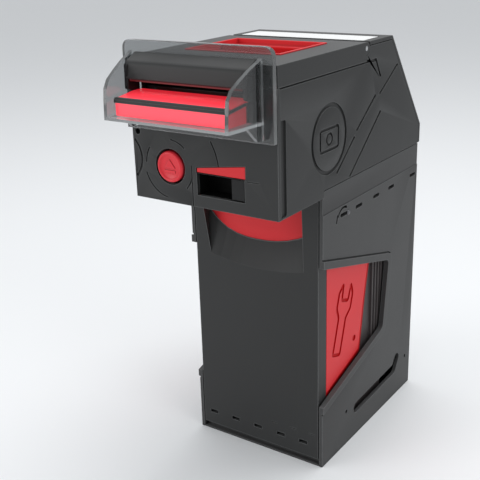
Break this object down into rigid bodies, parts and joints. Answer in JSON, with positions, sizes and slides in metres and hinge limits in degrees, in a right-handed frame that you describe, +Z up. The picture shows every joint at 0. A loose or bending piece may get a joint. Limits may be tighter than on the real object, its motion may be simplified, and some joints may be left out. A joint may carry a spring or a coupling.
{
  "type": "bill validator",
  "caption": "Upright note reader with a hooded note slot, a lifting head lid, a round release button and a removable stacking cashbox in a slotted chassis.",
  "frame": {"origin": "centre of the chassis on its underside", "axes": "+Z up, -Y the side where notes go in, +X to the right seen from the front"},
  "size_m": [0.104, 0.226, 0.289],
  "materials": {
    "casing": "fine spark-eroded moulding texture",
    "chassis_black": "fine texture, slightly lighter than the head",
    "dark_plastic": "plain moulded",
    "red_plastic": "semi-gloss moulded",
    "lit_red": "translucent, lit from inside",
    "clear_plastic": "polished clear moulding",
    "steel": "bright rolled steel",
    "rubber": "matt",
    "acetal": "natural acetal",
    "circuit_board": "solder-masked board",
    "label": "blank satin label"
  },
  "bodies": {
    "chassis": {"chassis_base": "chassis_black", "chassis_left_side": "chassis_black", "chassis_right_side": "chassis_black", "chassis_back": "chassis_black", "left_rail": "steel", "right_rail": "steel", "stacker_frame": "dark_plastic", "stacker_motor": "steel", "head_floor": "dark_plastic", "head_left_cover": "casing", "head_right_cover": "casing", "head_fascia": "casing", "head_back_cover": "casing", "blank_label": "label", "interface_socket": "dark_plastic", "control_board": "circuit_board", "port_housing": "dark_plastic", "port_block": "chassis_black", "port_wedge": "red_plastic", "bezel_left_clip": "red_plastic", "bezel_right_clip": "red_plastic", "lower_note_guide": "dark_plastic", "rear_note_guide": "dark_plastic", "left_shaft_bracket": "steel", "right_shaft_bracket": "steel", "drive_motor": "steel", "drive_belt": "rubber", "lid_hinge_pin": "steel", "bezel_plate": "clear_plastic", "bezel_shell": "clear_plastic", "light_tray": "lit_red", "bezel_hood": "casing", "bezel_led_board": "circuit_board", "button_spring": "steel"},
    "stacker_plate": {"stacker_plate": "dark_plastic"},
    "stacker_screw": {"stacker_screw": "steel"},
    "cashbox": {"cashbox_front": "casing", "cashbox_shell": "dark_plastic", "cashbox_left_panel": "red_plastic", "cashbox_right_panel": "red_plastic", "note_pressure_spring": "steel"},
    "cashbox_handle": {"cashbox_handle": "red_plastic"},
    "pressure_plate": {"note_pressure_plate": "acetal"},
    "front_drive": {"front_drive_shaft": "steel", "front_left_roller": "rubber", "front_right_roller": "rubber", "drive_gear": "acetal"},
    "rear_drive": {"rear_drive_shaft": "steel", "rear_left_roller": "rubber", "rear_right_roller": "rubber"},
    "motor_pinion": {"motor_pinion": "steel"},
    "lid": {"top_lid": "casing", "upper_note_guide": "dark_plastic", "latch_cup": "red_plastic"},
    "top_latch": {"top_latch": "red_plastic"},
    "front_pinch": {"front_pinch_roller": "rubber"},
    "rear_pinch": {"rear_pinch_roller": "rubber"},
    "release_button": {"release_button": "red_plastic"}
  },
  "joints": [
    {"name": "cashbox_slide", "type": "slide", "parent": "chassis", "child": "cashbox", "axis": [0, -1, 0], "range_m": [0, 0.105]},
    {"name": "handle_swing", "type": "hinge", "parent": "cashbox", "child": "cashbox_handle", "pos_m": [0, -0.057, 0.1835], "axis": [1, 0, 0], "range_deg": [0, 10], "stiffness_Nm_per_rad": 0.05},
    {"name": "pressure_plate_slide", "type": "slide", "parent": "cashbox", "child": "pressure_plate", "axis": [0, -1, 0], "range_m": [0, 0.06], "stiffness_N_per_m": 40, "deforming": ["note_pressure_spring"]},
    {"name": "stacker_push", "type": "slide", "parent": "chassis", "child": "stacker_plate", "axis": [0, -1, 0], "range_m": [0, 0.008]},
    {"name": "stacker_screw_turn", "type": "hinge", "parent": "chassis", "child": "stacker_screw", "pos_m": [0, 0.045, 0.1], "axis": [0, 1, 0], "range_deg": [0, 722]},
    {"name": "front_drive_spin", "type": "hinge", "parent": "chassis", "child": "front_drive", "pos_m": [0, -0.0985, 0.2547], "axis": [1, 0, 0], "continuous": true},
    {"name": "rear_drive_spin", "type": "hinge", "parent": "chassis", "child": "rear_drive", "pos_m": [0, -0.0405, 0.2547], "axis": [1, 0, 0], "continuous": true},
    {"name": "motor_pinion_spin", "type": "hinge", "parent": "chassis", "child": "motor_pinion", "pos_m": [0, -0.0845, 0.23496], "axis": [1, 0, 0], "continuous": true},
    {"name": "lid_hinge", "type": "hinge", "parent": "chassis", "child": "lid", "pos_m": [0, -0.018, 0.275], "axis": [-1, 0, 0], "range_deg": [0, 65]},
    {"name": "latch_slide", "type": "slide", "parent": "lid", "child": "top_latch", "axis": [0, -1, 0], "range_m": [0, 0.006], "stiffness_N_per_m": 200},
    {"name": "front_pinch_spin", "type": "hinge", "parent": "lid", "child": "front_pinch", "pos_m": [0, -0.0985, 0.2683], "axis": [1, 0, 0], "continuous": true},
    {"name": "rear_pinch_spin", "type": "hinge", "parent": "lid", "child": "rear_pinch", "pos_m": [0, -0.0405, 0.2683], "axis": [1, 0, 0], "continuous": true},
    {"name": "button_press", "type": "slide", "parent": "chassis", "child": "release_button", "axis": [0, 1, 0], "range_m": [0, 0.0025], "stiffness_N_per_m": 500, "deforming": ["button_spring"]}
  ],
  "couplings": [
    {"joint": "stacker_screw_turn", "follows": "stacker_push", "rad_per_m": 1570.8},
    {"joint": "rear_drive_spin", "follows": "front_drive_spin", "ratio": 1},
    {"joint": "motor_pinion_spin", "follows": "front_drive_spin", "ratio": -3},
    {"joint": "front_pinch_spin", "follows": "front_drive_spin", "ratio": -1.6},
    {"joint": "rear_pinch_spin", "follows": "front_drive_spin", "ratio": -1.6}
  ]
}
